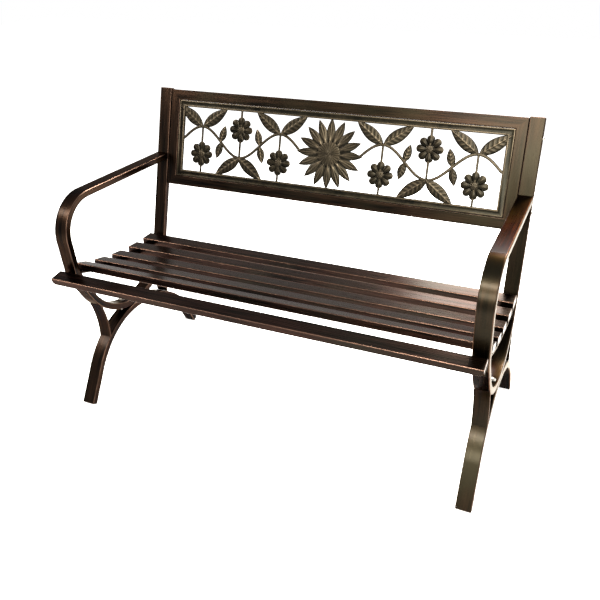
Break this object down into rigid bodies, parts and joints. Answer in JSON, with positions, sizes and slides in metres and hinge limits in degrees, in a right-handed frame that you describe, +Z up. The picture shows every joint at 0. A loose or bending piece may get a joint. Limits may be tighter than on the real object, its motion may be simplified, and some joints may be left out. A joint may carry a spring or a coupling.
{
  "type": "metal garden bench",
  "caption": "Metal garden bench with bent flat-tube side frames, a slatted seat and a cast openwork back panel.",
  "frame": {"origin": "on the floor, under the middle of the bench", "axes": "+X to the bench's own right as seen from the front, +Y to the back, +Z up"},
  "size_m": [1.233, 0.6608, 0.8825],
  "materials": {
    "frame_coat": "satin antique bronze powder coat",
    "slat_coat": "satin antique bronze powder coat, worn brighter along the edges",
    "panel_coat": "satin antique bronze coat on a casting",
    "bolt_steel": "plain zinc-plated steel"
  },
  "bodies": {
    "root": {"back_bottom_rail": "frame_coat", "back_top_rail": "frame_coat", "cast_panel": "panel_coat", "front_slat": "slat_coat", "left_arm_loop": "frame_coat", "left_back_post": "frame_coat", "left_back_stile": "frame_coat", "left_front_brace": "frame_coat", "left_leg_arch": "frame_coat", "left_leg_bolt": "bolt_steel", "left_leg_washer": "bolt_steel", "left_lower_frame_bolt": "bolt_steel", "left_rear_brace": "frame_coat", "left_seat_front_bolt": "bolt_steel", "left_seat_front_nut": "bolt_steel", "left_seat_rear_bolt": "bolt_steel", "left_seat_rear_nut": "bolt_steel", "left_seat_strap": "frame_coat", "left_slat_bracket": "frame_coat", "left_upper_frame_bolt": "bolt_steel", "right_arm_loop": "frame_coat", "right_back_post": "frame_coat", "right_back_stile": "frame_coat", "right_front_brace": "frame_coat", "right_leg_arch": "frame_coat", "right_leg_bolt": "bolt_steel", "right_leg_washer": "bolt_steel", "right_lower_frame_bolt": "bolt_steel", "right_rear_brace": "frame_coat", "right_seat_front_bolt": "bolt_steel", "right_seat_front_nut": "bolt_steel", "right_seat_rear_bolt": "bolt_steel", "right_seat_rear_nut": "bolt_steel", "right_seat_strap": "frame_coat", "right_slat_bracket": "frame_coat", "right_upper_frame_bolt": "bolt_steel", "seat_slat_1": "slat_coat", "seat_slat_2": "slat_coat", "seat_slat_3": "slat_coat", "seat_slat_4": "slat_coat", "seat_slat_5": "slat_coat"}
  },
  "joints": []
}
